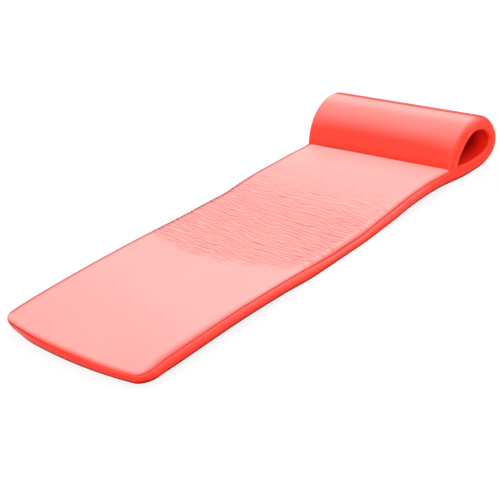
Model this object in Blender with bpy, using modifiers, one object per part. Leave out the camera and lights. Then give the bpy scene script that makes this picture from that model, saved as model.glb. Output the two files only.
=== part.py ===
"""Foam pool float: one closed-cell foam slab whose head end is rolled over and
bonded down on the mat as an open headrest, under a coat of vinyl.

Every piece is drawn flat, as the slab is cut, and then laid along one path:
the gently waved mat, the roll round the back and over the top, and the lip
that comes down on the mat. In the flat drawing x runs across, s runs from the
foot edge towards the lip, and h rises from the underside to the top face.
In the room +Z is up, the foot lies at -Y and the headrest at +Y.
"""

import math

import bmesh
import bpy
from mathutils import Matrix, Vector

# Driving dimensions, in metres
LENGTH = 1.829
WIDTH = 0.650
FOAM = 0.0500
VINYL = 0.0009
BOND = 0.0008
GAP = 0.0004

# Edges of the slab; the bow of the foot edge fades out along the mat
FOOT_CORNER = 0.054
FOOT_BOW = 0.028
FOOT_FADE = 0.120
SHOULDER = 0.0105
UNDER_ROUND = 0.0150
DRAW_IN = 0.0040
CREASE = 0.0008

# Underside of the mat: distance from the foot edge and height over the floor
FOOT_DROOP = 0.012
WAVE = (
    (0.060 * LENGTH, 0.0138),
    (0.208 * LENGTH, 0.0162),
    (0.503 * LENGTH, 0.0),
    (0.547 * LENGTH, 0.0),
    (0.689 * LENGTH, 0.0160),
    (0.755 * LENGTH, 0.0160),
    (0.908 * LENGTH, 0.0),
)

# Outside of the roll: radius and angle of each arc, then the front arc, which is
# drawn no further than an angle and ends where it meets the mat. The lip is cut
# to length there, and the mat's top edge is squared over a length beyond it. The
# roll's coat is a sheet of its own, clear of the floor, from an angle on.
ROLL_ARCS = ((0.215, 23.0), (0.072, 87.0), (0.140, 86.0))
FRONT_RADIUS = 0.186
FRONT_LIMIT = 80.0
LIP_SEAT = 0.057
LIP_SPARE = 0.005
SQUARING = 0.020
COAT_PARTS = 7.7

# The foam that is squeezed inside the bend spreads sideways, from before the roll on
SPREAD = 0.0125
SPREAD_OUTSIDE = 0.35
SPREAD_LEAD = 0.236
SPREAD_RISE = 0.29
SPREAD_FALL = 0.10
SPREAD_AT_LIP = 0.5

# Fineness of the facets: lengths along the mat, degrees round the roll
MAT_STEP = 0.070
FOOT_STEP = 0.016
ROLL_STEP = 9.0
SEAT_STEPS = 3
CORNER_STEPS = 6
SHOULDER_STEPS = 4
UNDER_STEPS = 3
BOW_STEPS = 10
HALVINGS = 48
SHARP_EDGE = 40.0

COAT = VINYL + GAP
SLAB = FOAM + 2 * COAT
HALF = WIDTH / 2
FOOT_ZONE = FOOT_BOW + FOOT_FADE
CREASE_HEIGHT = SLAB - SHOULDER
LAST_CREST = WAVE[-2][0]
NEAR = GAP / 2
LIP_LIFT = BOND + 2 * GAP


def arc_end(point, heading, radius, angle):
    """The end of an arc that turns left by an angle in degrees."""
    turned = heading + math.radians(angle)
    y = point[0] + radius * (math.sin(turned) - math.sin(heading))
    z = point[1] + radius * (math.cos(heading) - math.cos(turned))
    return (y, z), turned


def wave(y):
    """Height and slope of the mat's underside."""
    start, height = WAVE[0]
    if y < start:
        t = 1 - y / start
        return height - FOOT_DROOP * t * t, 2 * FOOT_DROOP * t / start
    for (y0, z0), (y1, z1) in zip(WAVE, WAVE[1:]):
        if y < y1:
            t = math.pi * (y - y0) / (y1 - y0)
            rise = (z1 - z0) / 2
            return z0 + rise * (1 - math.cos(t)), rise * math.sin(t) * math.pi / (y1 - y0)
    return 0.0, 0.0


def draw_in(h):
    """How far the side draws in from the under round up to the crease."""
    rise = (h - UNDER_ROUND) / (CREASE_HEIGHT - UNDER_ROUND)
    return DRAW_IN * max(0.0, min(1.0, rise)) ** 2


def foot_lean():
    """How far the drooping foot edge leans out over its underside."""
    lean = math.sin(math.atan(wave(0.0)[1]))
    middle = (UNDER_ROUND + CREASE_HEIGHT) / 2
    return max(h * lean - draw_in(h) for h in (UNDER_ROUND, middle, CREASE_HEIGHT))


def roll_reach():
    """How far the back of the roll stands behind its start."""
    first, second = ROLL_ARCS[0], ROLL_ARCS[1]
    lean = math.sin(math.radians(first[1]))
    return first[0] * lean + second[0] * (1 - lean)


FOOT_LEAN = foot_lean()
ROLL_START = LENGTH - FOOT_LEAN - roll_reach()
MIDDLE = FOOT_LEAN - LENGTH / 2


def path(s, h):
    """Where a point of the flat slab goes: y from the foot edge, and z."""
    if s <= ROLL_START:
        height, slope = wave(s)
        heading = math.atan(slope)
        point = (s, height)
    else:
        point, heading = (ROLL_START, 0.0), 0.0
        left = s - ROLL_START
        for radius, angle in ROLL_ARCS:
            turn = min(left / radius, math.radians(angle))
            point, heading = arc_end(point, heading, radius, math.degrees(turn))
            left -= radius * turn
        if left > 0:
            turn = math.degrees(left / FRONT_RADIUS)
            point, heading = arc_end(point, heading, FRONT_RADIUS, turn)
    return Vector((point[0] - h * math.sin(heading), point[1] + h * math.cos(heading)))


def halve(low, high, test):
    """The place between two bounds where a test turns from true to false."""
    for _ in range(HALVINGS):
        middle = (low + high) / 2
        if test(middle):
            low = middle
        else:
            high = middle
    return (low + high) / 2


ROLL_TOP = ROLL_START + sum(r * math.radians(a) for r, a in ROLL_ARCS)
ROLL_LIMIT = ROLL_TOP + FRONT_RADIUS * math.radians(FRONT_LIMIT)


def over_mat(point):
    """Height of a point over the top of the mat's foam."""
    s = halve(LAST_CREST, ROLL_START, lambda at: path(at, SLAB - COAT)[0] < point[0])
    return point[1] - path(s, SLAB - COAT)[1]


FRONT_MEETS = halve(ROLL_TOP, ROLL_LIMIT, lambda s: over_mat(path(s, 0)) > 0)
FRONT = path(FRONT_MEETS, 0)
SEAM = halve(LAST_CREST, ROLL_START, lambda s: path(s, SLAB - COAT)[0] < FRONT[0])
SEAT_END = SEAM + LIP_SEAT
SEAT_FRONT = path(SEAM, SLAB - COAT)
SEAT_BACK = path(SEAT_END, SLAB - COAT)


def mitre(h, lift=LIP_LIFT):
    """The length of the slab at height h that ends a lift above the seat."""
    along = (SEAT_BACK - SEAT_FRONT).normalized()
    up = Vector((-along[1], along[0]))

    def above(s):
        return (path(s, h) - SEAT_FRONT).dot(up) > lift

    return halve(ROLL_TOP, ROLL_LIMIT, above)


LIP_START = mitre(SLAB, LIP_SPARE)
SLAB_END = FRONT_MEETS + LIP_SPARE
ROLL_COAT = ROLL_START + ROLL_ARCS[0][0] * math.radians(COAT_PARTS)


def stations():
    """The places along the slab where it is creased to follow the path."""
    places = [FOOT_BOW + k * FOOT_STEP for k in range(1, 5)] + [FOOT_ZONE]
    marks = [y for y, _ in WAVE] + [ROLL_START]
    for a, b in zip(marks, marks[1:]):
        count = max(1, math.ceil((b - a) / MAT_STEP))
        places += [a + (b - a) * k / count for k in range(count)]
    # Round the seat, stations of its own take the place of the even ones
    first, last = SEAM - SQUARING, SEAT_END + SQUARING
    places = [s for s in places if not first - SQUARING / 2 < s < last + SQUARING / 2]
    places += [first, last]
    places += [SEAM + LIP_SEAT * k / SEAT_STEPS for k in range(1, SEAT_STEPS)]
    at = ROLL_START
    for radius, angle in ROLL_ARCS + ((FRONT_RADIUS, FRONT_LIMIT),):
        count = math.ceil(angle / ROLL_STEP)
        places += [at + radius * math.radians(angle) * k / count for k in range(count)]
        at += radius * math.radians(angle)
    # The coat parts between two stations a crease apart
    for edge in (SEAM, SEAT_END, ROLL_COAT):
        places = [s for s in places if abs(s - edge) > CREASE]
        places += [edge - CREASE / 2, edge + CREASE / 2]
    return sorted(s for s in places if s < LIP_START)


def smooth(t):
    """A soft step from 0 to 1."""
    t = max(0.0, min(1.0, t))
    return t * t * (3 - 2 * t)


def spread(s, h):
    """How much wider than the mat each side is, at a place in the roll."""
    rise = smooth((s - ROLL_START + SPREAD_LEAD) / SPREAD_RISE)
    fall = 1 - (1 - SPREAD_AT_LIP) * smooth((s - LIP_START + SPREAD_FALL) / SPREAD_FALL)
    return SPREAD * rise * fall * (SPREAD_OUTSIDE + (1 - SPREAD_OUTSIDE) * h / SLAB)


def under_lip(s):
    """1 where the lip covers the mat's top edge, which is left square there."""
    before = (s - SEAM + SQUARING) / (SQUARING - CREASE / 2)
    after = (SEAT_END + SQUARING - s) / (SQUARING - CREASE / 2)
    return max(0.0, min(1.0, before, after))


def bend(x, s, h):
    """Takes a point of the flat slab to its place on the float."""
    reach = HALF - FOOT_CORNER
    inner = Vector((max(-reach, min(reach, x)), max(s, FOOT_BOW + FOOT_CORNER)))
    away = Vector((x, s)) - inner
    # The top edge is square where the lip stands on it
    across = abs(x) - (HALF - SHOULDER)
    over = h - CREASE_HEIGHT
    if across > 0 and over > 0:
        corner = Vector((across, over))
        grow = 1 + under_lip(s) * (corner.length / max(corner) - 1)
        x = math.copysign(HALF - SHOULDER + across * grow, x)
        h = CREASE_HEIGHT + over * grow
    if away.length > GAP:
        drawn = draw_in(h) * away.normalized()
        x -= drawn[0]
        s -= drawn[1]
    # The foot edge is bowed
    if s < FOOT_ZONE:
        fade = (FOOT_ZONE - s) / (FOOT_ZONE - FOOT_BOW)
        s -= FOOT_BOW * (1 - (x / HALF) ** 2) * fade
    if s > LIP_START + GAP:
        s = mitre(h)
    x *= 1 + spread(s, h) / HALF
    y, z = path(s, h)
    return Vector((x, y + MIDDLE, z))


def select(mesh, test):
    """The edges of a mesh whose two ends both pass a test."""
    return [e for e in mesh.edges if all(test(v.co) for v in e.verts)]


def round_off(mesh, edges, radius, steps):
    """Rounds edges of a mesh."""
    bmesh.ops.bevel(mesh, geom=edges, offset=radius, segments=steps, profile=0.5, affect="EDGES")


def cut(mesh, place, normal, only=None):
    """Cuts a mesh along a plane, everywhere or only where a face passes a test."""
    faces = [f for f in mesh.faces if only is None or only(f.calc_center_median())]
    edges = {e for f in faces for e in f.edges}
    verts = {v for f in faces for v in f.verts}
    geometry = list(verts) + list(edges) + faces
    bmesh.ops.bisect_plane(mesh, geom=geometry, plane_co=place, plane_no=normal)


def flat_slab(inset):
    """The flat slab with its rounded edges, drawn in by an inset except at the lip."""
    mesh = bmesh.new()
    bmesh.ops.create_cube(mesh, size=1.0)
    foot = FOOT_BOW + inset
    size = (WIDTH - 2 * inset, SLAB_END - foot, SLAB - 2 * inset)
    bmesh.ops.scale(mesh, vec=size, verts=mesh.verts)
    bmesh.ops.translate(mesh, vec=(0, foot + size[1] / 2, SLAB / 2), verts=mesh.verts)

    upright = select(mesh, lambda co: co.y < foot + NEAR)
    upright = [e for e in upright if abs(e.verts[0].co.z - e.verts[1].co.z) > NEAR]
    round_off(mesh, upright, FOOT_CORNER - inset, CORNER_STEPS)
    top, under = SLAB - inset, inset
    for height, radius, steps in ((top, SHOULDER, SHOULDER_STEPS), (under, UNDER_ROUND, UNDER_STEPS)):
        rim = select(mesh, lambda co: abs(co.z - height) < NEAR)
        rim = [e for e in rim if min(v.co.y for v in e.verts) < SLAB_END - NEAR]
        round_off(mesh, rim, radius - inset, steps)

    side = CREASE_HEIGHT - CREASE - UNDER_ROUND
    for height in (UNDER_ROUND + side / 2, UNDER_ROUND + side):
        cut(mesh, (0, 0, height), (0, 0, 1))
    for s in stations():
        cut(mesh, (0, s, 0), (0, 1, 0))
    for k in range(1, BOW_STEPS):
        x = (HALF - FOOT_CORNER) * (2 * k / BOW_STEPS - 1)
        cut(mesh, (x, 0, 0), (1, 0, 0), lambda co: co.y < FOOT_ZONE)
    return mesh


def lay(name, mesh, material, lowered=None):
    """Lays a flat piece along the path and makes it an object."""
    for vert in mesh.verts:
        x, s, h = vert.co
        place = bend(x, s, h)
        if lowered is not None and SEAM < s < SEAT_END:
            place.z = min(place.z, bend(x, s, lowered).z)
        vert.co = place
    data = bpy.data.meshes.new(name)
    mesh.to_mesh(data)
    mesh.free()
    data.shade_smooth()
    data.set_sharp_from_angle(angle=math.radians(SHARP_EDGE))
    data.materials.append(material)
    piece = bpy.data.objects.new(name, data)
    collection.objects.link(piece)
    return piece


def sheet(name, keep, material, lowered=None, trim=None):
    """A sheet of vinyl: the faces of the slab's outside that pass a test."""
    mesh = flat_slab(0.0)
    if trim is not None:
        for side in (-1, 1):
            cut(mesh, (side * trim, 0, 0), (1, 0, 0))
    drop = [f for f in mesh.faces if not keep(f.calc_center_median())]
    bmesh.ops.delete(mesh, geom=drop, context="FACES")
    piece = lay(name, mesh, material, lowered)
    solidify = piece.modifiers.new("Thickness", "SOLIDIFY")
    solidify.thickness = VINYL
    solidify.offset = -1.0
    solidify.use_even_offset = True
    return piece


def paint(name, colour, roughness):
    """A plain material."""
    material = bpy.data.materials.new(name)
    material.use_nodes = True
    shader = material.node_tree.nodes["Principled BSDF"]
    shader.inputs["Base Color"].default_value = (*colour, 1.0)
    shader.inputs["Roughness"].default_value = roughness
    shader.inputs["Metallic"].default_value = 0.0
    return material


for thing in list(bpy.data.objects):
    bpy.data.objects.remove(thing)
collection = bpy.data.collections.new("foam_pool_float")
bpy.context.scene.collection.children.link(collection)

top_vinyl = paint("top vinyl", (1.0, 0.23, 0.18), 0.40)
wrap_vinyl = paint("wrap vinyl", (0.95, 0.07, 0.04), 0.35)
lining_vinyl = paint("lining vinyl", (0.80, 0.03, 0.02), 0.45)
raw_foam = paint("raw foam", (0.90, 0.55, 0.50), 0.90)
glue = paint("glue", (0.60, 0.10, 0.08), 0.50)


# Foam slab: the mat and the rolled headrest in one continuous piece
lay("foam_slab", flat_slab(COAT), raw_foam)


# Top skin: the mat's top sheet, round the shoulder and down to the crease
def on_top(co):
    return co.z > CREASE_HEIGHT and co.y < SEAM


sheet("top_skin", on_top, top_vinyl)


# The outside of the coat: foot edge, sides, underside, and the roll and its ends
def on_outside(co):
    if co.y > SLAB_END - NEAR:
        return False
    if co.z < CREASE_HEIGHT - CREASE:
        return True
    if co.y < SEAM + CREASE / 2 or abs(co.y - SEAT_END) < CREASE / 2:
        return False
    if co.y < SEAT_END:
        # Under the lip the sheet ends half way round the shoulder
        return co.z < CREASE_HEIGHT + SHOULDER * math.sqrt(0.5)
    return abs(co.x) > HALF - SHOULDER


# Wrap skin: the foot edge, the sides and the underside, up to where the roll lifts
def on_wrap(co):
    return on_outside(co) and co.y < ROLL_COAT - CREASE / 2


sheet("wrap_skin", on_wrap, wrap_vinyl, lowered=SLAB - COAT - GAP)


# Roll skin: the back, the top, the front and the two ends of the headrest
def on_roll(co):
    return on_outside(co) and co.y > ROLL_COAT + CREASE / 2


sheet("roll_skin", on_roll, wrap_vinyl)


# Tunnel lining: the inside of the roll, from behind the lip round to the lip
def on_lining(co):
    inside = abs(co.x) < HALF - SHOULDER - CREASE
    return inside and co.z > SLAB - NEAR and co.y > SEAT_END + CREASE / 2


sheet("tunnel_lining", on_lining, lining_vinyl, trim=HALF - SHOULDER - CREASE)


# Lip bond: the strip of glue between the lip of the slab and the mat
def lip_bond():
    along = (SEAT_BACK - SEAT_FRONT).normalized()
    front = path(mitre(COAT, GAP), COAT)
    back = path(mitre(SLAB - COAT, GAP), SLAB - COAT)
    middle = (front + back) / 2 + Vector((-along[1], along[0])) * BOND / 2
    depth = (back - front).length - 2 * GAP
    mesh = bmesh.new()
    bmesh.ops.create_cube(mesh, size=1.0)
    bmesh.ops.scale(mesh, vec=(WIDTH - 2 * SHOULDER, depth, BOND), verts=mesh.verts)
    upright = [e for e in mesh.edges if abs(e.verts[0].co.z - e.verts[1].co.z) > BOND / 2]
    round_off(mesh, upright, UNDER_ROUND, UNDER_STEPS)
    tilt = math.atan2(along[1], along[0])
    bmesh.ops.rotate(mesh, matrix=Matrix.Rotation(tilt, 3, "X"), verts=mesh.verts)
    data = bpy.data.meshes.new("lip_bond")
    mesh.to_mesh(data)
    mesh.free()
    data.materials.append(glue)
    piece = bpy.data.objects.new("lip_bond", data)
    piece.location = (0, middle[0] + MIDDLE, middle[1])
    collection.objects.link(piece)


lip_bond()
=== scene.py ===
"""Foam pool float: a coral red vinyl-coated foam mat whose head end is rolled over
and glued down as an open headrest. Lengths are in metres. In the flat slab x runs
across, s runs from the foot edge towards the lip, and h rises from the underside.
The near side is the one that the camera sees, where x is above 0.
"""

import math

import bmesh
import bpy
from mathutils import Matrix, Vector, noise


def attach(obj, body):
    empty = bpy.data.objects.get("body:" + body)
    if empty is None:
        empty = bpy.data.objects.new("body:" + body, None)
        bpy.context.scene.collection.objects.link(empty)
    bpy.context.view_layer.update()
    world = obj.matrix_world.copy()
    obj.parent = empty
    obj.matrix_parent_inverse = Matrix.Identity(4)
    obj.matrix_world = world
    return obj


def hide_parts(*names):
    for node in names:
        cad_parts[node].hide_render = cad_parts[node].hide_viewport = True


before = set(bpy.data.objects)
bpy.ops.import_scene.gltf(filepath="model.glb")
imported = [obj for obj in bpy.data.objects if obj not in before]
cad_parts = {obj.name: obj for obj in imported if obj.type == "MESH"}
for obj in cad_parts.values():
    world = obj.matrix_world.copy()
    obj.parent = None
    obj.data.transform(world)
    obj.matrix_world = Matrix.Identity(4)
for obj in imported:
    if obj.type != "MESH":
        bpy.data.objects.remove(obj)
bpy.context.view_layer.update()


# The foam slab is one length of closed-cell foam, cut flat with rounded edges. Its
# head end is rolled over the back and the lip is cut to a mitre and glued down on
# the mat. It lies hidden under the coat, and all the coat is laid along its path.
LENGTH = 1.829
WIDTH = 0.650
FOAM = 0.0500
VINYL = 0.0009
GAP = 0.0004
LEFT_CORNER = 0.033
RIGHT_CORNER = 0.050
FOOT_BOW = 0.028
FOOT_FADE = 0.120
SHOULDER = 0.0105
UNDER_ROUND = 0.0150
DRAW_IN = 0.0040
CREASE_DEPTH = 0.0022
CREASE_REACH = 0.0022
CREASE_ENDS = 0.015
FOOT_DROOP = 0.012
# The mat's underside waves between these places along it, each with its height
WAVE = (
    (0.060 * LENGTH, 0.0138),
    (0.208 * LENGTH, 0.0162),
    (0.503 * LENGTH, 0.0),
    (0.547 * LENGTH, 0.0),
    (0.689 * LENGTH, 0.0160),
    (0.755 * LENGTH, 0.0160),
    (0.908 * LENGTH, 0.0),
)
# The roll's underside from the floor up over the top: radius and degrees of each arc
ROLL_ARCS = ((0.215, 23.0), (0.072, 87.0), (0.140, 86.0))
FRONT_RADIUS = 0.186
FRONT_LIMIT = 80.0
LIP_SEAT = 0.057
LIP_SPARE = 0.005
SQUARING = 0.020
SPREAD = 0.0125
SPREAD_OUTSIDE = 0.35
SPREAD_LEAD = 0.236
SPREAD_RISE = 0.29
SPREAD_FALL = 0.10
SPREAD_AT_LIP = 0.5
TOUCH = 0.0001
HALVINGS = 30

SLAB = FOAM + 2 * (VINYL + GAP)
HALF = WIDTH / 2
FOOT_ZONE = FOOT_BOW + FOOT_FADE
CREASE_HEIGHT = SLAB - SHOULDER
LAST_CREST = WAVE[-2][0]


def arc_end(point, heading, radius, turn):
    """The end of an arc that turns left by an angle in radians."""
    y = point[0] + radius * (math.sin(heading + turn) - math.sin(heading))
    z = point[1] + radius * (math.cos(heading) - math.cos(heading + turn))
    return (y, z), heading + turn


def wave(y):
    """Height and slope of the mat's underside."""
    start, height = WAVE[0]
    if y < start:
        t = 1 - y / start
        return height - FOOT_DROOP * t * t, 2 * FOOT_DROOP * t / start
    for (y0, z0), (y1, z1) in zip(WAVE, WAVE[1:]):
        if y < y1:
            t = math.pi * (y - y0) / (y1 - y0)
            rise = (z1 - z0) / 2
            return z0 + rise * (1 - math.cos(t)), rise * math.sin(t) * math.pi / (y1 - y0)
    return 0.0, 0.0


def draw_in(h):
    """How far the side draws in from the under round up to the crease."""
    rise = (h - UNDER_ROUND) / (CREASE_HEIGHT - UNDER_ROUND)
    return DRAW_IN * max(0.0, min(1.0, rise)) ** 2


def foot_lean():
    """How far the drooping foot edge leans out over its underside."""
    lean = math.sin(math.atan(wave(0.0)[1]))
    middle = (UNDER_ROUND + CREASE_HEIGHT) / 2
    return max(h * lean - draw_in(h) for h in (UNDER_ROUND, middle, CREASE_HEIGHT))


lean_out = math.sin(math.radians(ROLL_ARCS[0][1]))
ROLL_REACH = ROLL_ARCS[0][0] * lean_out + ROLL_ARCS[1][0] * (1 - lean_out)
ROLL_START = LENGTH - foot_lean() - ROLL_REACH
ROLL_TOP = ROLL_START + sum(r * math.radians(a) for r, a in ROLL_ARCS)
ROLL_LIMIT = ROLL_TOP + FRONT_RADIUS * math.radians(FRONT_LIMIT)
MIDDLE = foot_lean() - LENGTH / 2


def path(s, h):
    """Where a point of the flat slab goes: y from the foot edge, and z."""
    if s <= ROLL_START:
        height, slope = wave(s)
        heading = math.atan(slope)
        point = (s, height)
    else:
        point, heading, left = (ROLL_START, 0.0), 0.0, s - ROLL_START
        for radius, angle in ROLL_ARCS:
            turn = min(left / radius, math.radians(angle))
            point, heading = arc_end(point, heading, radius, turn)
            left -= radius * turn
        if left > 0:
            point, heading = arc_end(point, heading, FRONT_RADIUS, left / FRONT_RADIUS)
    return Vector((point[0] - h * math.sin(heading), point[1] + h * math.cos(heading)))


def halve(low, high, test):
    """The place between two bounds where a test turns from true to false."""
    for _ in range(HALVINGS):
        middle = (low + high) / 2
        if test(middle):
            low = middle
        else:
            high = middle
    return (low + high) / 2


def over_mat(point):
    """Height of a point over the top of the mat."""
    s = halve(LAST_CREST, ROLL_START, lambda at: path(at, SLAB)[0] < point[0])
    return point[1] - path(s, SLAB)[1]


FRONT_MEETS = halve(ROLL_TOP, ROLL_LIMIT, lambda s: over_mat(path(s, 0)) > 0)
FRONT = path(FRONT_MEETS, 0)
SEAM = halve(LAST_CREST, ROLL_START, lambda s: path(s, SLAB)[0] < FRONT[0])
SEAT_END = SEAM + LIP_SEAT
SEAT_FRONT = path(SEAM, SLAB)
SEAT_ALONG = (path(SEAT_END, SLAB) - SEAT_FRONT).normalized()
SEAT_UP = Vector((-SEAT_ALONG[1], SEAT_ALONG[0]))


def mitre(h, lift=TOUCH):
    """The length of the slab at height h that ends a lift above the seat."""
    return halve(ROLL_TOP, ROLL_LIMIT, lambda s: (path(s, h) - SEAT_FRONT).dot(SEAT_UP) > lift)


LIP_START = mitre(SLAB, LIP_SPARE)
SLAB_END = FRONT_MEETS + LIP_SPARE


def smooth(t):
    """A soft step from 0 to 1."""
    t = max(0.0, min(1.0, t))
    return t * t * (3 - 2 * t)


def ramp(at, zone):
    """A soft step from 0 at the first place of a zone to 1 at its second."""
    return smooth((at - zone[0]) / (zone[1] - zone[0]))


def stretch(at, zone):
    """Over a zone of four places: begins, is full, starts to fade and ends."""
    begins, full, fades, ends = zone
    return ramp(at, (begins, full)) * ramp(at, (ends, fades))


def spread(s, h):
    """How much wider than the mat each side is, at a place in the roll."""
    rise = smooth((s - ROLL_START + SPREAD_LEAD) / SPREAD_RISE)
    fall = 1 - (1 - SPREAD_AT_LIP) * smooth((s - LIP_START + SPREAD_FALL) / SPREAD_FALL)
    return SPREAD * rise * fall * (SPREAD_OUTSIDE + (1 - SPREAD_OUTSIDE) * h / SLAB)


def under_lip(s):
    """1 where the lip covers the mat's top edge, which is left square there."""
    before = (s - SEAM + SQUARING) / SQUARING
    after = (SEAT_END + SQUARING - s) / SQUARING
    return max(0.0, min(1.0, before, after))


# This float lies a little askew: the foot edge is cut out of square, its far corner
# is turned under and its near one thin, and the two sides rise and sag unevenly.
# A zone gives the places on the flat slab where such a form comes in and dies out.
FOOT_SKEW = 0.005
FOOT_LIFT = 0.0018
FOOT_LIFT_ZONE = (0.15, 0.03)
FAR_LIFT = 0.003
FAR_LIFT_ZONE = (0.45, 0.65, 0.90, 1.05)
FAR_SINK = 0.006
FAR_SINK_ZONE = (1.08, 1.30, 1.42, 1.62)
FAR_CORNER_SINK = 0.004
FAR_CORNER_SINK_ZONE = (0.20, 0.05)
FAR_CORNER_UNDERCUT = 0.011
UNDERCUT_ACROSS = (-0.16, -0.31)
UNDERCUT_ALONG = (0.16, 0.04)
NEAR_LIFT = 0.004
NEAR_LIFT_ZONE = (1.15, 1.30, 1.47, 1.62)
NEAR_PUFF = 0.005
NEAR_PUFF_ZONE = (1.05, 1.23, 1.20, 1.35)
NEAR_CREASE_DROP = 0.008
DROP_BEGINS = (0.64, 0.89)
DROP_EASES = 0.8
DROP_EASES_ZONE = (1.00, 1.15)
DROP_ENDS = (SEAM, SEAM - 0.04)
NEAR_BELLY = 0.003
NEAR_BELLY_ZONE = (0.62, 0.74, 0.96, 1.08)
NEAR_CORNER_THIN = 0.010
THIN_ACROSS = (0.02, 0.30)
THIN_ALONG = (0.13, 0.0)
MOUTH_FLARE = 0.005
FLARE_ACROSS = (HALF - 0.06, HALF)
FLARE_ALONG = (SEAM + 0.02, SEAM + 0.12, ROLL_TOP - 0.18, ROLL_TOP - 0.06)
LIP_LIES_FROM = (LIP_START - 0.15, LIP_START)
LIP_PRESS = 0.0035
LIP_PRESS_ACROSS = (HALF - 0.06, HALF - 0.02)
LIP_BACK = 0.0065
LIP_BACK_FROM = (LIP_START - 0.10, LIP_START)


def undercut(x, s, h):
    """How far the far foot corner is drawn in under its crease."""
    at_corner = ramp(x, UNDERCUT_ACROSS) * ramp(s, UNDERCUT_ALONG)
    return FAR_CORNER_UNDERCUT * at_corner * max(0.0, 1 - h / CREASE_HEIGHT)


def crease(s, h):
    """How deep the coat is drawn in at the crease round the mat's top."""
    depth = CREASE_DEPTH * smooth(1 - abs(h - CREASE_HEIGHT) / CREASE_REACH)
    return depth * smooth((SEAM - s) / CREASE_ENDS)


def lie(x, s, h):
    """How far the soft float lies above the even path, unevenly at its two sides."""
    if s > ROLL_TOP:
        # The lip follows the mat's top, and is pressed down into it at its near end
        press = LIP_PRESS * ramp(x, LIP_PRESS_ACROSS)
        return ramp(s, LIP_LIES_FROM) * (lie(x, SEAM, SLAB) - press)
    low_down = smooth(1 - h / CREASE_HEIGHT)
    below_top = min(1.0, (SLAB - h) / SHOULDER)
    at_crease = below_top * ramp(h, (UNDER_ROUND, CREASE_HEIGHT))
    far = FAR_LIFT * stretch(s, FAR_LIFT_ZONE) - FAR_SINK * stretch(s, FAR_SINK_ZONE)
    far -= FAR_CORNER_SINK * ramp(s, FAR_CORNER_SINK_ZONE)
    near = NEAR_LIFT * stretch(s, NEAR_LIFT_ZONE)
    near -= NEAR_PUFF * stretch(s, NEAR_PUFF_ZONE) * below_top
    drop = ramp(s, DROP_BEGINS) * (1 - DROP_EASES * ramp(s, DROP_EASES_ZONE))
    near -= NEAR_CREASE_DROP * at_crease * drop * ramp(s, DROP_ENDS)
    near -= min(NEAR_BELLY, wave(s)[0]) * stretch(s, NEAR_BELLY_ZONE) * low_down
    thin = NEAR_CORNER_THIN * ramp(x, THIN_ACROSS) * ramp(s, THIN_ALONG) * h / SLAB
    foot = FOOT_LIFT * ramp(s, FOOT_LIFT_ZONE) * low_down
    return smooth(-x / HALF) * far + smooth(x / HALF) * near - thin + foot


def flare(x, s, h):
    """How far the inside of the headrest falls back at its near mouth."""
    return MOUTH_FLARE * stretch(s, FLARE_ALONG) * ramp(x, FLARE_ACROSS) * h / SLAB


def bend(x, s, h):
    """Takes a point of the flat slab to its place on the float."""
    corner = LEFT_CORNER if x < 0 else RIGHT_CORNER
    reach = HALF - corner
    inner = Vector((max(-reach, min(reach, x)), max(s, FOOT_BOW + corner)))
    away = Vector((x, s)) - inner
    across = abs(x) - (HALF - SHOULDER)
    over = h - CREASE_HEIGHT
    if across > 0 and over > 0:
        edge = Vector((across, over))
        grow = 1 + under_lip(s) * (edge.length / max(edge) - 1)
        x = math.copysign(HALF - SHOULDER + across * grow, x)
        h = CREASE_HEIGHT + over * grow
    if away.length > GAP:
        under = undercut(x, s, h) * (away.length / corner) ** 2
        drawn = (draw_in(h) + crease(s, h) + under) * away.normalized()
        x -= drawn[0]
        s -= drawn[1]
    if s < FOOT_ZONE:
        fade = (FOOT_ZONE - s) / FOOT_FADE
        s -= (FOOT_BOW * (1 - (x / HALF) ** 2) + FOOT_SKEW * x / HALF) * fade
    if s > LIP_START + GAP:
        s = mitre(h)
    x *= 1 + spread(s, h) / HALF
    y, z = path(s, h - flare(x, s, h))
    y += LIP_BACK * ramp(s, LIP_BACK_FROM) * (1 - (x / HALF) ** 4)
    return Vector((x, y + MIDDLE, z + lie(x, s, h)))


def pick(piece, kind, test):
    """In edit mode, selects the edges or faces of a piece whose corners all pass a test."""
    bpy.ops.mesh.select_mode(type=kind)
    bpy.ops.mesh.select_all(action="DESELECT")
    mesh = bmesh.from_edit_mesh(piece.data)
    for part in mesh.edges if kind == "EDGE" else mesh.faces:
        part.select_set(test([v.co for v in part.verts]))
    mesh.select_flush_mode()
    bmesh.update_edit_mesh(piece.data)


def slice_at(place, direction):
    """In edit mode, cuts new edges right through the piece."""
    bpy.ops.mesh.select_all(action="SELECT")
    bpy.ops.mesh.bisect(plane_co=place, plane_no=direction)


def even(start, end, step):
    """Places from start up to end, about a step apart."""
    count = max(1, math.ceil((end - start) / step))
    return [start + (end - start) * k / count for k in range(count)]


# Where the sides are sliced lengthways: shares of the slab's height, and steps of
# the crease's reach above and below it
SIDE_SLICES = (0.40, 0.50, 0.60)
CREASE_SLICES = (-3.0, -2.0, -1.0, -0.7, -0.4, 0.0, 0.4, 0.7)


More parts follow.
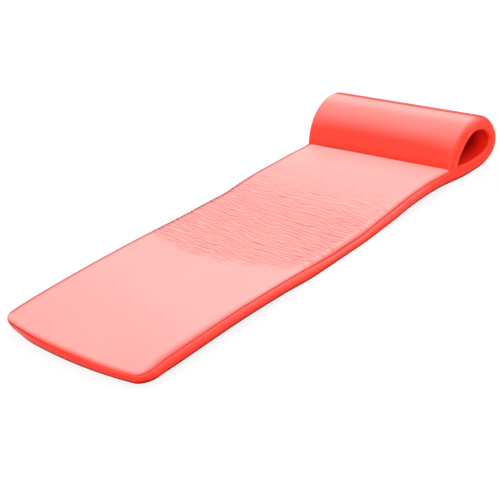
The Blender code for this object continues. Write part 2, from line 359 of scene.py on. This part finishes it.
def cut_blank(name, inset, row, turn, column, round_steps):
    """A flat slab with rounded edges, sliced across where it will bend."""
    foot = FOOT_BOW + inset
    size = (WIDTH - 2 * inset, SLAB_END - foot, SLAB - 2 * inset)
    middle = (0, foot + size[1] / 2, SLAB / 2)
    bpy.ops.object.select_all(action="DESELECT")
    bpy.ops.mesh.primitive_cube_add(size=1, location=middle, scale=size)
    bpy.ops.object.transform_apply(location=True, rotation=True, scale=True)
    blank = bpy.context.object
    blank.name = name
    bpy.ops.object.mode_set(mode="EDIT")

    # The two upright corners of the foot, then the long rims, over and under
    for side, corner in ((-1, LEFT_CORNER), (1, RIGHT_CORNER)):
        pick(blank, "EDGE", lambda ends: all(p.y < foot + GAP and p.x * side > 0 for p in ends))
        bpy.ops.mesh.bevel(offset=corner - inset, segments=2 * round_steps, affect="EDGES")
    for height, radius in ((SLAB - inset, SHOULDER), (inset, UNDER_ROUND)):
        pick(blank, "EDGE", lambda ends: all(abs(p.z - height) < TOUCH for p in ends)
             and min(p.y for p in ends) < SLAB_END - GAP)
        bpy.ops.mesh.bevel(offset=radius - inset, segments=round_steps, affect="EDGES")

    # Rows across: closer at the foot and round the seat, by degrees on the roll
    rows = even(FOOT_BOW + row / 2, FOOT_ZONE, row / 2) + even(FOOT_ZONE, SEAM - SQUARING, row)
    rows += even(SEAM - SQUARING, SEAM, row / 2) + even(SEAM, SEAT_END, row / 2)
    rows += even(SEAT_END, SEAT_END + SQUARING, row / 2) + even(SEAT_END + SQUARING, ROLL_START, row)
    at = ROLL_START
    for radius, angle in ROLL_ARCS + ((FRONT_RADIUS, FRONT_LIMIT),):
        arc = radius * math.radians(angle)
        rows += even(at, at + arc, radius * math.radians(turn))
        at += arc
    for s in rows:
        if s < LIP_START:
            slice_at((0, s, 0), (0, 1, 0))
    for x in even(-HALF + SHOULDER + column, HALF - SHOULDER, column):
        slice_at((x, 0, 0), (1, 0, 0))
    for x in (SHOULDER - HALF, HALF - SHOULDER):
        slice_at((x, 0, 0), (1, 0, 0))
    for share in SIDE_SLICES:
        slice_at((0, 0, share * SLAB), (0, 0, 1))
    for steps in CREASE_SLICES:
        slice_at((0, 0, CREASE_HEIGHT + steps * CREASE_REACH), (0, 0, 1))
    bpy.ops.object.mode_set(mode="OBJECT")
    return blank


def lay(piece):
    """Lays a flat piece along the path of the float, and notes where it was cut."""
    cut = piece.data.attributes.new("cut", "FLOAT_VECTOR", "POINT")
    for vertex, place in zip(piece.data.vertices, cut.data):
        place.vector = vertex.co
        vertex.co = bend(*vertex.co)
    piece.data.update()


# In degrees: an edge that turns less is smooth
SHARPEST_SMOOTH = 50


def take_up(piece):
    """Selects a piece and nothing else."""
    bpy.ops.object.select_all(action="DESELECT")
    piece.select_set(True)
    bpy.context.view_layer.objects.active = piece


def finish_piece(piece, *nodes):
    """Smooths a piece and lets it stand for its CAD nodes."""
    take_up(piece)
    bpy.ops.object.shade_smooth_by_angle(angle=math.radians(SHARPEST_SMOOTH))
    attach(piece, "root")
    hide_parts(*nodes)


def linear(code):
    """A colour code as the linear values that a shader takes."""
    parts = [int(code[k : k + 2], 16) / 255 for k in (1, 3, 5)]
    return (*[c / 12.92 if c <= 0.04045 else ((c + 0.055) / 1.055) ** 2.4 for c in parts], 1.0)


def plain_material(name, colour, roughness):
    """A Principled material with its colour and roughness set."""
    material = bpy.data.materials.new(name)
    material.use_nodes = True
    shader = material.node_tree.nodes["Principled BSDF"]
    shader.inputs["Base Color"].default_value = linear(colour)
    shader.inputs["Roughness"].default_value = roughness
    return material, shader


def add_node(tree, kind, inputs, **settings):
    """Adds a node with its settings, and fills or links its inputs."""
    node = tree.nodes.new("ShaderNode" + kind)
    for setting, value in settings.items():
        setattr(node, setting, value)
    for socket, value in inputs.items():
        if isinstance(value, bpy.types.NodeSocket):
            tree.links.new(value, node.inputs[socket])
        else:
            node.inputs[socket].default_value = value
    return node


# Closed-cell foam, dyed through, looks dull and is finely pitted where it is cut
CELL_SIZE = 0.0012
CELL_DEPTH = 0.0003
foam = cut_blank("foam_core", VINYL + GAP, row=0.030, turn=6, column=0.060, round_steps=4)
lay(foam)
foam_finish, foam_shader = plain_material("dyed foam", "#e0442f", roughness=0.95)
foam_tree = foam_finish.node_tree
foam_place = add_node(foam_tree, "TexCoord", {}).outputs["Object"]
cell_grain = {"Vector": foam_place, "Scale": 1 / CELL_SIZE, "Detail": 3.0}
cells = add_node(foam_tree, "TexNoise", cell_grain)
pitted = add_node(foam_tree, "Bump", {"Height": cells.outputs[0], "Distance": CELL_DEPTH})
foam_tree.links.new(pitted.outputs["Normal"], foam_shader.inputs["Normal"])
foam.data.materials.append(foam_finish)
finish_piece(foam, "foam_slab")


# The vinyl coat is sprayed and bonded over the foam. It is cut here from one blank,
# parted at the crease below the mat's top edge and at the rims of the headrest, and
# gets its small thickness inwards.
COAT_ROW = 0.012
blank = cut_blank("coat_blank", 0.0, row=COAT_ROW, turn=3, column=0.016, round_steps=7)


def part_off(name, keep):
    """A copy of the blank's outside with only the faces whose middle passes a test."""
    take_up(blank)
    bpy.ops.object.duplicate()
    piece = bpy.context.object
    piece.name = name
    bpy.ops.object.mode_set(mode="EDIT")
    pick(piece, "FACE", lambda corners: not keep(sum(corners, Vector()) / len(corners)))
    bpy.ops.mesh.delete(type="FACE")
    bpy.ops.object.mode_set(mode="OBJECT")
    return piece


def thicken(piece):
    """Gives a sheet its thickness, inwards."""
    take_up(piece)
    sheet = piece.modifiers.new("Thickness", "SOLIDIFY")
    sheet.thickness = VINYL
    sheet.offset = -1.0
    sheet.use_even_offset = True
    bpy.ops.object.modifier_apply(modifier=sheet.name)


def paint(piece, paleness, shading):
    """Paints light and shade into the coat's colour, each from 0 to 1, by place on the slab and
    normal.
    """
    for name, amount in (("painted_light", paleness), ("painted_shade", shading)):
        layer = piece.data.attributes.new(name, "FLOAT", "POINT")
        cuts = piece.data.attributes["cut"].data
        for vertex, cut, dab in zip(piece.data.vertices, cuts, layer.data):
            dab.value = max(0.0, min(1.0, amount(cut.vector, vertex.normal)))


# Sprayed vinyl has a satin skin of fine pebbles, drawn a little coarse so that they
# show, over low swells. It is sprayed by hand, so its red lies in soft clouds.
PEBBLE_SIZE = 0.0022
PEBBLE_HEIGHT = 0.00006
SWELL_SIZE = 0.030
SWELL_HEIGHT = 0.0006
CLOUD_SIZE = 0.25
CLOUD_SHADES = (0.94, 1.04)
RUB_SIZE = 0.035
RUB_ROUGHNESS = (-0.05, 0.07)
COAT_ROUGHNESS = 0.3
UNSHADED_SHEEN = (("Specular IOR Level", 0.25), ("Coat Weight", 0.08))
# The pale pink that the painted light mixes in, and the dark colour that the painted shade mixes in
PALE = "#ffc8c3"
SHADE_COLOUR = "#9a544f"


def vinyl(name, colour, roughness):
    """Vinyl in a colour, paled where light is painted on it and darkened where shade is painted on
    it.
    """
    material, shader = plain_material(name, colour, roughness)
    shader.inputs["Coat Roughness"].default_value = COAT_ROUGHNESS
    tree = material.node_tree
    place = add_node(tree, "TexCoord", {}).outputs["Object"]

    # Painted light pales the colour towards a light pink
    painted_light = add_node(tree, "Attribute", {}, attribute_name="painted_light").outputs["Fac"]
    lightened = {"Factor": painted_light, "A": linear(colour), "B": linear(PALE)}
    paled = add_node(tree, "Mix", lightened, data_type="RGBA").outputs["Result"]

    # The clouds, darkened where shade is painted, multiply that colour
    clouds = add_node(tree, "TexNoise", {"Vector": place, "Scale": 1 / CLOUD_SIZE, "Detail": 2.0})
    shades = {"Value": clouds.outputs[0], "To Min": CLOUD_SHADES[0], "To Max": CLOUD_SHADES[1]}
    cloud = add_node(tree, "MapRange", shades).outputs["Result"]
    painted_shade = add_node(tree, "Attribute", {}, attribute_name="painted_shade").outputs["Fac"]
    shaded = {"Factor": painted_shade, "A": cloud, "B": linear(SHADE_COLOUR)}
    tint = add_node(tree, "Mix", shaded, data_type="RGBA").outputs["Result"]
    tinted = {"Factor": 1.0, "A": paled, "B": tint}
    coloured = add_node(tree, "Mix", tinted, data_type="RGBA", blend_type="MULTIPLY")
    tree.links.new(coloured.outputs["Result"], shader.inputs["Base Color"])

    # Where shade is painted, the sheen is turned down too
    for socket, unshaded in UNSHADED_SHEEN:
        matte = add_node(tree, "MapRange", {"Value": painted_shade, "To Min": unshaded, "To Max": 0.0})
        tree.links.new(matte.outputs["Result"], shader.inputs[socket])

    # Handling leaves the gloss uneven
    rubbed = add_node(tree, "TexNoise", {"Vector": place, "Scale": 1 / RUB_SIZE, "Detail": 4.0})
    smoothest, roughest = (roughness + change for change in RUB_ROUGHNESS)
    gloss = {"Value": rubbed.outputs[0], "To Min": smoothest, "To Max": roughest}
    uneven = add_node(tree, "MapRange", gloss)
    tree.links.new(uneven.outputs["Result"], shader.inputs["Roughness"])

    # The pebbles, then the swells over them
    pebbles = add_node(tree, "TexNoise", {"Vector": place, "Scale": 1 / PEBBLE_SIZE, "Detail": 2.0})
    pebbled = add_node(tree, "Bump", {"Height": pebbles.outputs[0], "Distance": PEBBLE_HEIGHT})
    swells = add_node(tree, "TexNoise", {"Vector": place, "Scale": 1 / SWELL_SIZE, "Detail": 2.0})
    swelling = {"Height": swells.outputs[0], "Distance": SWELL_HEIGHT}
    swelled = add_node(tree, "Bump", {**swelling, "Normal": pebbled.outputs["Normal"]})
    tree.links.new(swelled.outputs["Normal"], shader.inputs["Normal"])
    return material


coral = vinyl("coral vinyl", "#ff2f12", roughness=0.42)


# The top of the mat is the part of the coat that is lain on. Where the slab curves
# up between foot and headrest the coat is squeezed lengthwise, so it gathers in
# fine wavy wrinkles that run across the mat and die out at both ends.
WRINKLE_ROW = 0.0016
WRINKLES_FROM = 0.585
WRINKLES_TO = 1.39
WRINKLES_SPARE = 0.02
WRINKLES_BOW = 0.075
BOW_MIDDLE = -0.15
WRINKLES_BEGIN = 0.060
WRINKLES_END = 0.38
END_CURVE = 1.2
WRINKLE_PITCH = 0.0125
WRINKLE_SLANT = 0.9
WRINKLE_HEIGHT = 0.0013
FOLD_EDGE = (0.1, -1.0)
FOLD_DEPTH = 0.9
# The valleys of the folds get less painted light and more painted shade by these shares
FOLD_DEEPENS = 0.43
FOLD_DARKENS = 0.35

# The wrinkles are uneven in four ways. Each has its strength, the width and length of
# its patches, and a number that keeps its patches apart from those of the others.
WANDER = (0.028, 0.035, 0.05, 9.0)
WIDE_DRIFT = (0.75, 0.20, 0.16, 4.0)
FINE_DRIFT = (0.70, 0.048, 0.020, 6.0)
UNEVEN_DEPTH = (0.28, 0.06, 0.03, 2.0)

# On the near shoulder they turn to short folds, further apart
TICK_PITCH = 0.029
TICK_EDGE = (0.5, 1.0)
TICK_SHARE = 0.8
TICK_ZONE = (HALF - 0.022, HALF - 0.010)
TICK_FAINTER = 0.45

# Up from the crease the wrinkles come in, and before the headrest the coat runs on a
# little under its front
LIFT_COMES_IN = (CREASE_HEIGHT, CREASE_HEIGHT + 0.008)
FOLDS_COME_IN = (CREASE_HEIGHT + 0.001, CREASE_HEIGHT + 0.009)
TUCKED_UNDER = 0.012


def patchy(x, s, patch):
    """Smooth unevenness in patches, from about minus its strength to plus that."""
    strength, width, length, number = patch
    return strength * noise.noise((x / width, s / length, number))


def gather(x, s):
    """How gathered the coat is, and how deep in a fold it lies, both from 0 to 1."""
    bow = WRINKLES_BOW * (x / HALF - BOW_MIDDLE) ** 2
    wander = patchy(x, s, WANDER)
    begin = smooth((s - WRINKLES_FROM - bow + wander) / WRINKLES_BEGIN)
    end = smooth((WRINKLES_TO - s + 2 * wander) / WRINKLES_END) ** END_CURVE
    drift = patchy(x, s, WIDE_DRIFT) + patchy(x, s, FINE_DRIFT)
    streak = math.sin(math.tau * (s / WRINKLE_PITCH + drift + x / WRINKLE_SLANT))
    fold = (FOLD_DEPTH + patchy(x, s, UNEVEN_DEPTH)) * ramp(streak, FOLD_EDGE)
    on_shoulder = TICK_SHARE * ramp(x, TICK_ZONE)
    tick = math.cos(math.tau * (s / TICK_PITCH + drift))
    fold += on_shoulder * (ramp(tick, TICK_EDGE) - fold)
    return begin * end, begin * end * fold * (1 - TICK_FAINTER * on_shoulder)


def on_top(p):
    """The mat's top up to the headrest, and a little under its front."""
    if p.z < CREASE_HEIGHT:
        return False
    return p.y < SEAM or p.y < SEAM + TUCKED_UNDER and abs(p.x) < HALF - SHOULDER


def to_fold(ends):
    """Whether an edge runs lengthwise, a full row long, where the coat is gathered."""
    if abs(ends[0].y - ends[1].y) < COAT_ROW / 2:
        return False
    last = WRINKLES_TO + WRINKLES_BOW
    return all(WRINKLES_FROM - WRINKLES_SPARE < p.y < last for p in ends)


top = part_off("mat_top", on_top)
bpy.ops.object.mode_set(mode="EDIT")
pick(top, "EDGE", to_fold)
bpy.ops.mesh.subdivide(number_cuts=round(COAT_ROW / WRINKLE_ROW) - 1)
bpy.ops.object.mode_set(mode="OBJECT")
raised = []
folded = top.data.attributes.new("folded", "FLOAT", "POINT")
for vertex, fold in zip(top.data.vertices, folded.data):
    x, s, h = vertex.co
    gathered, fold.value = gather(x, s)
    fold.value *= ramp(h, FOLDS_COME_IN)
    lift = WRINKLE_HEIGHT * (gathered / 2 - fold.value) * ramp(h, LIFT_COMES_IN)
    raised.append(vertex.co + vertex.normal * lift)
for vertex, place in zip(top.data.vertices, raised):
    vertex.co = place
lay(top)
thicken(top)


# Painted shade lies in the crease, a little along the near side and more round the far
# half, at the top's far edge, and in the seam in front of the headrest
CREASE_SHADE = 0.004
CREASE_SHADE_LOW = 0.0005
NEAR_SHADE = 0.32
NEAR_SHADE_ZONE = (HALF - 0.05, HALF - 0.02)
FAR_SHADE = 0.65
FAR_SHADE_ZONE = (-0.02, -0.22)
FAR_EDGE_ZONE = (0.018 - HALF, 0.008 - HALF)
FAR_EDGE_SHADE = 0.6
SEAM_ZONE = (SEAM - 0.002, SEAM + 0.004)
SEAM_SHADE = 0.4

# The painted light on the top ends in a crisp rim along the middle of the mat. It
# fades softly at the foot and towards the headrest, less so at the far side.
CRISP_ZONE = (0.15, 0.60)
CRISP_EASES = 0.6
CRISP_EASES_ZONE = (1.22, 1.42)
CRISP_FAR = 0.6
CRISP_FAR_ZONE = (0.0, -0.25)
PALE_FROM_SLOPE = 0.12
SOFT_TURN = 1.2
CRISP_TURN = 0.7
SOFT_RIM = 0.026
CRISP_RIM = 0.014
FOOT_RIM_STRETCH = 2.2
SOFT_RIM_LOSS = 0.46
CRISP_RIM_GAIN = 0.40
FAR_EDGE_LOSS = 0.5

# The painted light grows over the first half metre from the foot and again before the
# headrest, but less so at the near side there. Where the coat tucks into the crease it
# is redder, most at the far side.
LIGHT_AT_FOOT = 0.58
LIGHT_MIDDLE = 0.11
LIGHT_MIDDLE_ZONE = (0.0, 0.5)
LIGHT_HEAD = 0.13
LIGHT_HEAD_ZONE = (SEAM - 0.25, SEAM)
NEAR_HEAD_LOSS = 0.09
NEAR_HEAD_ALONG = (1.30, 1.42)
NEAR_HEAD_ACROSS = (0.08, 0.28)
TUCK_ZONE = (CREASE_HEIGHT, CREASE_HEIGHT + 0.003)
TUCK_LOSS = 0.3
TUCK_LOSS_FAR = 0.6
TUCK_SIDE = 0.2
LEAST_PALE = 0.05
TUCK_PALE_NEAR = 0.10


def crease_shade(x, h):
    """Painted shade in the crease, a little along the near side and more round the far half."""
    shown = max(NEAR_SHADE * ramp(x, NEAR_SHADE_ZONE), FAR_SHADE * ramp(x, FAR_SHADE_ZONE))
    return shown * smooth(1 - abs(h - CREASE_HEIGHT + CREASE_SHADE_LOW) / CREASE_SHADE)


def top_paleness(cut, normal):
    """Painted light where the mat's top faces up, with a rim that is crisp or soft."""
    x, s, h = cut
    along = ramp(s, CRISP_ZONE) * (1 - CRISP_EASES * ramp(s, CRISP_EASES_ZONE))
    crisp = max(along, CRISP_FAR * ramp(x, CRISP_FAR_ZONE))
    faces_up = max(0.0, (normal.z - PALE_FROM_SLOPE) / (1 - PALE_FROM_SLOPE))
    open_up = faces_up ** (SOFT_TURN - CRISP_TURN * crisp)

    top_light = LIGHT_AT_FOOT + LIGHT_MIDDLE * ramp(s, LIGHT_MIDDLE_ZONE) + LIGHT_HEAD * ramp(s, LIGHT_HEAD_ZONE)
    from_rim = min(HALF - x, FOOT_RIM_STRETCH * (s - FOOT_BOW))
    at_rim = 1 - smooth(from_rim / (SOFT_RIM - CRISP_RIM * crisp))
    top_light *= 1 - (SOFT_RIM_LOSS - CRISP_RIM_GAIN * crisp) * at_rim
    top_light *= 1 - FAR_EDGE_LOSS * ramp(x, FAR_EDGE_ZONE)
    top_light *= 1 - ramp(s, SEAM_ZONE)
    top_light *= 1 - NEAR_HEAD_LOSS * ramp(s, NEAR_HEAD_ALONG) * ramp(x, NEAR_HEAD_ACROSS)

    tucked = 1 - ramp(h, TUCK_ZONE)
    top_light *= 1 - (TUCK_LOSS + TUCK_LOSS_FAR * smooth(-x / TUCK_SIDE)) * tucked
    return top_light * open_up + LEAST_PALE + TUCK_PALE_NEAR * tucked * smooth(x / TUCK_SIDE)


def top_shade(cut, normal):
    """Painted shade at the far edge, in the crease and in the seam before the headrest."""
    x, s, h = cut
    far = FAR_EDGE_SHADE * ramp(x, FAR_EDGE_ZONE)
    return max(far, crease_shade(x, h), SEAM_SHADE * ramp(s, SEAM_ZONE))


paint(top, top_paleness, top_shade)
# Painted shade in the wrinkles: their valleys lose painted light and gain painted shade
for fold, pale, dark in zip(*(top.data.attributes[n].data for n in ("folded", "painted_light", "painted_shade"))):
    pale.value *= 1 - FOLD_DEEPENS * fold.value
    dark.value += FOLD_DARKENS * fold.value
top.data.materials.append(coral)
finish_piece(top, "top_skin")


# The wrap is the rest of the outside: foot edge, sides, underside, and the back, top,
# front and ends of the headrest, in one unbroken coat. Its upper edge tucks in at the
# crease, and its end lies glued against the mat's top.
def on_wrap(p):
    """The underside and the sides, and from the seat on the rounded upper rims too."""
    if p.y > SLAB_END - TOUCH:
        return False
    if p.z < CREASE_HEIGHT:
        return True
    if p.y < SEAM:
        return False
    if p.y < SEAT_END:
        # Beside the lip, the outer half of the rounded rim
        return abs(p.x) > HALF - SHOULDER * (1 - math.sqrt(0.5))
    return abs(p.x) > HALF - SHOULDER


wrap = part_off("mat_wrap", on_wrap)
lay(wrap)
thicken(wrap)


# Painted light: the near side is a little pale, most high up past mid length, and at the
# edge that tucks into the crease. The far foot corner is much paler, up to just below the crease.
SIDE_PALE = 0.17
SIDE_FROM = (-0.55, 0.85)
SIDE_TO = (SEAM, SEAM - 0.25)
SIDE_LOW = 0.45
SIDE_HIGH = 0.75
SIDE_HEIGHTS = (0.015, 0.040)
CORNER_PALE = 0.52
CORNER_PALE_ACROSS = (-0.12, -0.32)
CORNER_PALE_ALONG = (0.12, 0.02)
CORNER_PALE_HEIGHTS = (CREASE_HEIGHT - 0.002, CREASE_HEIGHT - 0.008)
FLOOR_FADE = (0.008, 0.030)
EDGE_PALE = 0.10
EDGE_PALE_HEIGHTS = (CREASE_HEIGHT - 0.006, CREASE_HEIGHT - 0.002)
EDGE_PALE_ACROSS = 0.2

# Painted highlight: the headrest is pale where it faces up and forward over its crest,
# and a little so at its two ends near the crest. Behind it is deep red.
CREST_BEFORE_TOP = 16
CREST = ROLL_TOP - ROLL_ARCS[-1][0] * math.radians(CREST_BEFORE_TOP)
CREST_REACH = 0.10
CREST_PALE = 1.02
CREST_SLOPE = 0.49
CREST_SOFTNESS = 0.08
CREST_FLAT = 0.20
CREST_FLAT_SLOPES = (0.92, 1.0)
CREST_BACK = (0.12, 0.02)
CREST_NEAR_LOSS = 0.1
CREST_NEAR_ZONE = (0.05, 0.30)
END_PALE = 0.30
END_FADE = 1.5
LEAST_PALE_ROLL = 0.035
FACING_SLOPES = (-0.35, 0.35)

# Painted shade lies along the lower rim, higher at the foot, and on the headrest's upper back
RIM_SHADE = 0.95
RIM_FOOT_ZONE = (0.06, 0.03)
RIM_SLOPE = 0.02
RIM_SLOPE_FOOT = 0.1
RIM_SLOPE_FADE = 0.45
RIM_UNDER_SLOPES = (-0.95, -0.75)
RIM_HEIGHT = UNDER_ROUND + 0.005
RIM_HEIGHT_FOOT = 0.002
RIM_HEIGHT_FADE = 0.007
RIM_ENDS = (ROLL_START + 0.15, ROLL_START + 0.05)
CREASE_SHADE_ENDS = (SEAM, SEAM - 0.01)
BACK_SHADE = 0.35
BACK_SLOPES = (0.04, 0.16)
BACK_UP_SLOPES = (0.0, 0.5)
BACK_FROM = (ROLL_START + 0.20, ROLL_START + 0.25)


def mat_side_paleness(x, s, h, normal):
    """How pale the mat's sides and foot edge are, below the crease."""
    pale = SIDE_PALE * max(0.0, normal.x) * ramp(s, SIDE_FROM) * ramp(s, SIDE_TO)
    pale *= SIDE_LOW + SIDE_HIGH * ramp(h, SIDE_HEIGHTS)
    at_corner = ramp(x, CORNER_PALE_ACROSS) * ramp(s, CORNER_PALE_ALONG)
    pale += CORNER_PALE * at_corner * ramp(h, CORNER_PALE_HEIGHTS)
    pale *= ramp(h, FLOOR_FADE)
    return pale + EDGE_PALE * ramp(h, EDGE_PALE_HEIGHTS) * smooth(x / EDGE_PALE_ACROSS)


def headrest_paleness(x, s, h, normal):
    """How pale the headrest is: what faces up near its crest, and its two ends."""
    rise = max(0.0, normal.z - CREST_SLOPE)
    pale = CREST_PALE * rise * rise / (rise + CREST_SOFTNESS)
    pale += CREST_FLAT * ramp(normal.z, CREST_FLAT_SLOPES)
    inside = smooth((h - SLAB + SHOULDER) / SHOULDER)
    pale *= ramp(normal.y, CREST_BACK) * (1 - inside)
    pale *= 1 - CREST_NEAR_LOSS * ramp(x, CREST_NEAR_ZONE)
    at_crest = smooth(1 - abs(s - CREST) / CREST_REACH)
    end = END_PALE * at_crest * max(0.0, 1 - h / SLAB) ** END_FADE * abs(normal.x)
    return pale, end + LEAST_PALE_ROLL * (1 - normal.x**2)


def wrap_paleness(cut, normal):
    """The paleness of the mat's sides and of the headrest, least where it faces down."""
    x, s, h = cut
    if s < SEAM:
        pale, side = 0.0, mat_side_paleness(x, s, h, normal)
    else:
        pale, side = headrest_paleness(x, s, h, normal)
    return pale + side * ramp(normal.z, FACING_SLOPES)


def wrap_shade(cut, normal):
    """Painted shade on the lower rim, in the crease and on the headrest's upper back."""
    x, s, h = cut
    at_foot = ramp(s, RIM_FOOT_ZONE)
    rim = smooth((RIM_SLOPE + RIM_SLOPE_FOOT * at_foot - normal.z) / RIM_SLOPE_FADE)
    rim *= ramp(normal.z, RIM_UNDER_SLOPES) * ramp(s, RIM_ENDS)
    rim *= smooth((RIM_HEIGHT + RIM_HEIGHT_FOOT * at_foot - h) / RIM_HEIGHT_FADE)
    behind = ramp(normal.y, BACK_SLOPES) * ramp(normal.z, BACK_UP_SLOPES) * ramp(s, BACK_FROM)
    return max(RIM_SHADE * rim, crease_shade(x, h) * ramp(s, CREASE_SHADE_ENDS), BACK_SHADE * behind)


paint(wrap, wrap_paleness, wrap_shade)
wrap.data.materials.append(coral)
finish_piece(wrap, "wrap_skin", "roll_skin")


# The lining is the same coat inside the headrest: the mat's top behind the lip and
# the inside of the roll round to the lip again. Little light reaches it, so it gets no
# painted light, and its deeper red is a painted shade.
LINING_SHADE = 0.68
LINING_SHADE_FROM_END = (0.020, 0.092)


def on_lining(p):
    """The upper face of the flat slab from behind the lip's seat on."""
    return abs(p.x) < HALF - SHOULDER and p.z > SLAB - TOUCH and p.y > SEAT_END


def lining_shade(cut, normal):
    """Painted shade: the inside darkens away from the open ends."""
    return LINING_SHADE * ramp(HALF - abs(cut.x), LINING_SHADE_FROM_END)


lining = part_off("tunnel_coat", on_lining)
lay(lining)
thicken(lining)
paint(lining, lambda cut, normal: 0.0, lining_shade)
lining.data.materials.append(vinyl("lining vinyl", "#fa1c05", roughness=0.65))
finish_piece(lining, "tunnel_lining")
bpy.data.objects.remove(blank)


# The glue is a thin strip of contact glue that holds the lip down on the mat. It
# sets hard, and shows nowhere.
BEAD_SIZE = 0.004
BEAD_HEIGHT = 0.0002
glue_finish, glue_shader = plain_material("cured glue", "#b4524a", roughness=0.55)
glue_tree = glue_finish.node_tree
glue_place = add_node(glue_tree, "TexCoord", {}).outputs["Object"]
bead_grain = {"Vector": glue_place, "Scale": 1 / BEAD_SIZE, "Detail": 3.0}
beads = add_node(glue_tree, "TexNoise", bead_grain)
beaded = add_node(glue_tree, "Bump", {"Height": beads.outputs[0], "Distance": BEAD_HEIGHT})
glue_tree.links.new(beaded.outputs["Normal"], glue_shader.inputs["Normal"])
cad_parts["lip_bond"].data.materials.clear()
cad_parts["lip_bond"].data.materials.append(glue_finish)


# The studio: a white floor that runs out of sight, a white surround, a broad soft
# light behind and above for the sheen on the top, and soft fill from the camera side.
FLOOR_SIZE = 40
FLOOR_LIT = "#7c7c7c"
FLOOR_SEEN = "#757575"
FLOOR_GLOW = 0.82
DIMMEST_SURROUND = 0.85
bpy.ops.mesh.primitive_plane_add(size=FLOOR_SIZE, location=(0, 0, 0))
floor = bpy.context.object
floor.name = "floor"
floor_finish, floor_shader = plain_material("white floor", FLOOR_LIT, roughness=0.9)


def seen_white(tree):
    """1 for what is seen directly, in a reflection or through glass, 0 for other light."""
    light_path = add_node(tree, "LightPath", {})
    seen = light_path.outputs["Is Camera Ray"]
    for ray in ("Is Glossy Ray", "Is Transmission Ray"):
        either = {0: seen, 1: light_path.outputs[ray]}
        seen = add_node(tree, "Math", either, operation="MAXIMUM").outputs[0]
    return seen


floor_tree = floor_finish.node_tree
seen = seen_white(floor_tree)
glow = add_node(floor_tree, "Math", {0: seen, 1: FLOOR_GLOW}, operation="MULTIPLY")
floor_tree.links.new(glow.outputs[0], floor_shader.inputs["Emission Strength"])
floor_shader.inputs["Emission Color"].default_value = linear("#ffffff")
greys = {"Factor": seen, "A": linear(FLOOR_LIT), "B": linear(FLOOR_SEEN)}
floor_paint = add_node(floor_tree, "Mix", greys, data_type="RGBA")
floor_tree.links.new(floor_paint.outputs["Result"], floor_shader.inputs["Base Color"])
floor.data.materials.append(floor_finish)

world = bpy.data.worlds.new("white surround")
bpy.context.scene.world = world
world.use_nodes = True
world_tree = world.node_tree
surround = world_tree.nodes["Background"]
surround.inputs["Color"].default_value = linear("#ffffff")
whiteness = {"Value": seen_white(world_tree), "To Min": DIMMEST_SURROUND, "To Max": 1.0}
level = add_node(world_tree, "MapRange", whiteness)
world_tree.links.new(level.outputs["Result"], surround.inputs["Strength"])


def soft_light(name, place, aim, size, power):
    """A square soft light that the camera doesn't see."""
    lamp = bpy.data.lights.new(name, "AREA")
    lamp.size = size
    lamp.energy = power
    light = bpy.data.objects.new(name, lamp)
    light.location = place
    light.rotation_euler = (Vector(aim) - Vector(place)).to_track_quat("-Z", "Y").to_euler()
    light.visible_camera = False
    bpy.context.scene.collection.objects.link(light)


MID_MAT = (0, 0, 0.05)
soft_light("sky light", (-1.1, 1.6, 2.8), MID_MAT, size=4.0, power=20)
soft_light("fill light", (2.4, -5.4, 1.3), MID_MAT, size=5.5, power=200)
soft_light("side light", (3.2, 0.9, 0.8), MID_MAT, size=2.4, power=40)

# The camera stands where the photograph was taken from, with a long lens and a
# slight tilt to the right
AZIMUTH = 45.56
ELEVATION = 26.24
TILT = -8.34
DISTANCE = 4.029
TARGET = Vector((0.0328, -0.1310, 0.0220))
LENS = 87.98
az, el, tilt = (math.radians(a) for a in (AZIMUTH, ELEVATION, TILT))
back = Vector((math.sin(az) * math.cos(el), -math.cos(az) * math.cos(el), math.sin(el)))
across = Vector((math.cos(az), math.sin(az), 0))
up = back.cross(across)
sideways = across * math.cos(tilt) + up * math.sin(tilt)
upwards = up * math.cos(tilt) - across * math.sin(tilt)
turned = (sideways, upwards, back)
camera = bpy.data.objects.new("camera", bpy.data.cameras.new("camera"))
camera.data.lens = LENS
camera.data.sensor_width = 36.0
camera.data.clip_end = 100.0
stand = Matrix.Translation(TARGET + back * DISTANCE)
camera.matrix_world = stand @ Matrix(turned).transposed().to_4x4()
bpy.context.scene.collection.objects.link(camera)
bpy.context.scene.camera = camera
bpy.context.scene.view_settings.view_transform = "Standard"
